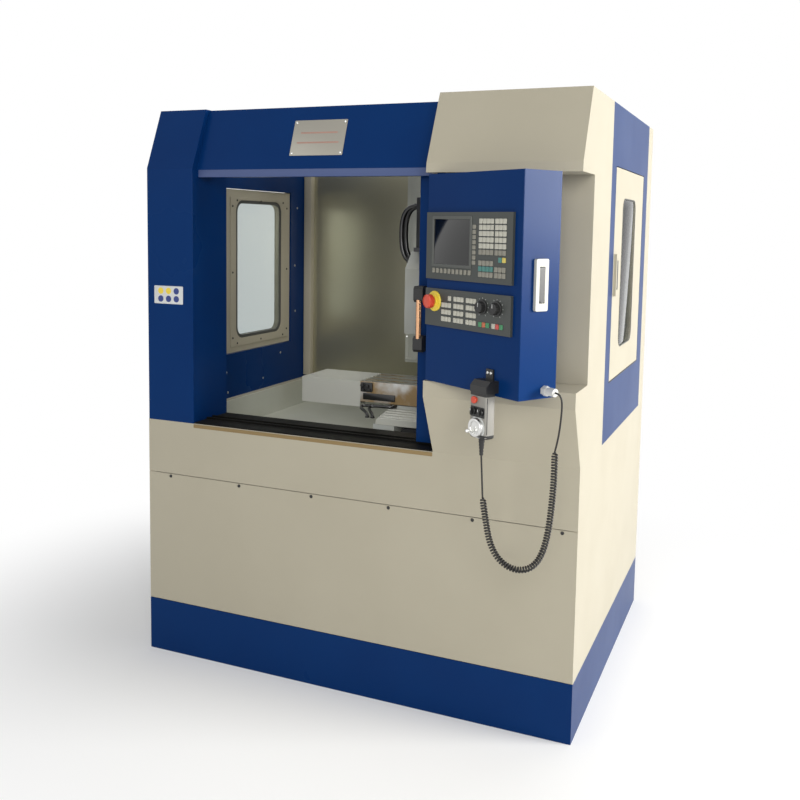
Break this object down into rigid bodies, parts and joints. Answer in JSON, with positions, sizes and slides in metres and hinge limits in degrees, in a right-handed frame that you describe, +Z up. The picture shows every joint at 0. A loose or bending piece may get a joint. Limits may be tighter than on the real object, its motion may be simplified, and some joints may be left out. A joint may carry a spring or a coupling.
{
  "type": "mini cnc milling machine",
  "caption": "Small enclosed vertical milling machine with sliding door, swinging operator console and a hand pendant on a curly cord.",
  "frame": {"origin": "on the floor under the middle of the outline, cord left out", "axes": "+X to the operator's right, +Y from the front to the back, +Z up"},
  "size_m": [1.5288, 1.4708, 1.9],
  "materials": {
    "blue_paint": "semi-gloss",
    "cream_paint": "semi-gloss",
    "grey_sheet": "satin",
    "casting": "satin paint",
    "black_sheet": "satin",
    "rack": "matte",
    "motor": "satin black",
    "steel": "ground",
    "glass": "clear",
    "black_plastic": "satin",
    "copper": "polished",
    "panel": "satin",
    "yellow_plastic": "gloss",
    "red_plastic": "gloss",
    "white_plastic": "satin",
    "way_plates": "satin",
    "conduit": "satin",
    "cord": "satin"
  },
  "bodies": {
    "frame": {"plinth": "blue_paint", "lower_cabinet": "cream_paint", "lower_front_cover": "cream_paint", "middle_band": "cream_paint", "door_sill": "black_sheet", "chip_tray": "grey_sheet", "left_column": "blue_paint", "header": "blue_paint", "left_side_panel": "blue_paint", "right_side_panel": "blue_paint", "rear_wall": "grey_sheet", "control_housing": "cream_paint", "electrical_cabinet": "cream_paint", "drive_rack": "rack", "machine_bed": "casting", "y_motor": "motor", "column": "casting", "z_motor": "motor", "column_cover": "grey_sheet", "way_cover": "way_plates"},
    "lead_door": {"lead_door": "blue_paint", "lead_door_window": "glass", "handle_brackets": "black_plastic", "handle_bar": "copper"},
    "trail_door": {"trail_door": "blue_paint"},
    "right_side_door": {"right_side_door": "cream_paint", "right_door_window": "glass"},
    "right_lock_lever": {"right_lock_lever": "black_plastic"},
    "left_side_door": {"left_side_door": "cream_paint", "left_door_window": "glass"},
    "left_lock_lever": {"left_lock_lever": "black_plastic"},
    "cabinet_door": {"cabinet_door": "cream_paint"},
    "saddle": {"saddle": "casting"},
    "table": {"table": "steel", "table_cover": "grey_sheet", "x_motor": "motor"},
    "x_screw": {"x_screw": "steel"},
    "y_screw": {"y_screw": "steel"},
    "z_screw": {"z_screw": "steel"},
    "head": {"spindle_head": "casting", "spindle_motor": "motor", "head_conduit": "conduit"},
    "spindle": {"spindle": "steel"},
    "console": {"console_box": "blue_paint", "operator_panel": "panel", "machine_panel": "panel", "estop_collar": "yellow_plastic", "console_lock_plate": "white_plastic", "cable_gland": "white_plastic", "pendant_holder": "black_plastic", "pendant_body": "black_plastic", "pendant_cord": "cord"},
    "console_lock_lever": {"console_lock_lever": "black_plastic"},
    "estop_button": {"estop_button": "red_plastic"},
    "spindle_override_knob": {"spindle_override_knob": "black_plastic"},
    "feed_override_knob": {"feed_override_knob": "black_plastic"},
    "pendant_wheel": {"pendant_wheel": "black_plastic"},
    "pendant_axis_knob": {"pendant_axis_knob": "black_plastic"},
    "pendant_step_knob": {"pendant_step_knob": "black_plastic"},
    "pendant_estop": {"pendant_estop": "red_plastic"}
  },
  "joints": [
    {"name": "lead_door_slide", "type": "slide", "parent": "frame", "child": "lead_door", "axis": [-1, 0, 0], "range_m": [0, 0.788]},
    {"name": "trail_door_slide", "type": "slide", "parent": "frame", "child": "trail_door", "axis": [-1, 0, 0], "range_m": [0, 0.394]},
    {"name": "right_side_door_hinge", "type": "hinge", "parent": "frame", "child": "right_side_door", "pos_m": [0.745, 0.52537, 1.02], "axis": [0, 0, 1], "range_deg": [0, 100]},
    {"name": "right_lock_lift", "type": "hinge", "parent": "right_side_door", "child": "right_lock_lever", "pos_m": [0.7614, -0.00013, 1.407], "axis": [0, -1, 0], "range_deg": [0, 40]},
    {"name": "left_side_door_hinge", "type": "hinge", "parent": "frame", "child": "left_side_door", "pos_m": [-0.745, 0.48037, 1.003], "axis": [0, 0, -1], "range_deg": [0, 100]},
    {"name": "left_lock_lift", "type": "hinge", "parent": "left_side_door", "child": "left_lock_lever", "pos_m": [-0.7614, -0.00013, 1.366], "axis": [0, 1, 0], "range_deg": [0, 40]},
    {"name": "cabinet_door_hinge", "type": "hinge", "parent": "frame", "child": "cabinet_door", "pos_m": [0.442, 0.72537, 0.95], "axis": [0, 0, -1], "range_deg": [0, 110]},
    {"name": "saddle_slide", "type": "slide", "parent": "frame", "child": "saddle", "axis": [0, 1, 0], "range_m": [-0.075, 0.075], "deforming": ["way_cover"]},
    {"name": "table_slide", "type": "slide", "parent": "saddle", "child": "table", "axis": [1, 0, 0], "range_m": [-0.1, 0.1]},
    {"name": "head_slide", "type": "slide", "parent": "frame", "child": "head", "axis": [0, 0, 1], "range_m": [-0.1, 0.12]},
    {"name": "spindle_turn", "type": "hinge", "parent": "head", "child": "spindle", "pos_m": [0.115, 0.07337, 1.13], "axis": [0, 0, 1], "continuous": true},
    {"name": "y_screw_turn", "type": "hinge", "parent": "frame", "child": "y_screw", "pos_m": [0.115, 0.30337, 0.78], "axis": [0, 1, 0], "range_deg": [-5500, 5500]},
    {"name": "x_screw_turn", "type": "hinge", "parent": "table", "child": "x_screw", "pos_m": [0.115, 0.07337, 0.895], "axis": [1, 0, 0], "range_deg": [-7300, 7300]},
    {"name": "z_screw_turn", "type": "hinge", "parent": "frame", "child": "z_screw", "pos_m": [0.115, 0.33937, 1.05], "axis": [0, 0, 1], "range_deg": [-7300, 8800]},
    {"name": "console_swing", "type": "hinge", "parent": "frame", "child": "console", "pos_m": [0.34373, -0.5085, 1.064], "axis": [0, 0, 1], "range_deg": [-55, 18]},
    {"name": "console_lock_lift", "type": "hinge", "parent": "console", "child": "console_lock_lever", "pos_m": [0.68984, -0.68131, 1.407], "axis": [-0.5225, -0.8526, 0], "range_deg": [0, 40]},
    {"name": "estop_press", "type": "slide", "parent": "console", "child": "estop_button", "axis": [0.5225, 0.8526, 0], "range_m": [0, 0.004], "stiffness_N_per_m": 1500},
    {"name": "spindle_override_turn", "type": "hinge", "parent": "console", "child": "spindle_override_knob", "pos_m": [0.53098, -0.65844, 1.297], "axis": [-0.5225, -0.8526, 0], "range_deg": [-150, 150]},
    {"name": "feed_override_turn", "type": "hinge", "parent": "console", "child": "feed_override_knob", "pos_m": [0.58043, -0.68874, 1.297], "axis": [-0.5225, -0.8526, 0], "range_deg": [-150, 150]},
    {"name": "pendant_wheel_turn", "type": "hinge", "parent": "console", "child": "pendant_wheel", "pos_m": [0.5358, -0.71182, 0.982], "axis": [-0.5225, -0.8526, 0], "continuous": true},
    {"name": "pendant_axis_turn", "type": "hinge", "parent": "console", "child": "pendant_axis_knob", "pos_m": [0.52301, -0.70398, 1.024], "axis": [-0.5225, -0.8526, 0], "range_deg": [-75, 75]},
    {"name": "pendant_step_turn", "type": "hinge", "parent": "console", "child": "pendant_step_knob", "pos_m": [0.54859, -0.71966, 1.024], "axis": [-0.5225, -0.8526, 0], "range_deg": [-75, 75]},
    {"name": "pendant_estop_press", "type": "slide", "parent": "console", "child": "pendant_estop", "axis": [0.5225, 0.8526, 0], "range_m": [0, 0.0035], "stiffness_N_per_m": 800}
  ],
  "couplings": [
    {"joint": "trail_door_slide", "follows": "lead_door_slide", "ratio": 0.5},
    {"joint": "y_screw_turn", "follows": "saddle_slide", "rad_per_m": 1256.6},
    {"joint": "x_screw_turn", "follows": "table_slide", "rad_per_m": 1256.6},
    {"joint": "z_screw_turn", "follows": "head_slide", "rad_per_m": 1256.6}
  ]
}
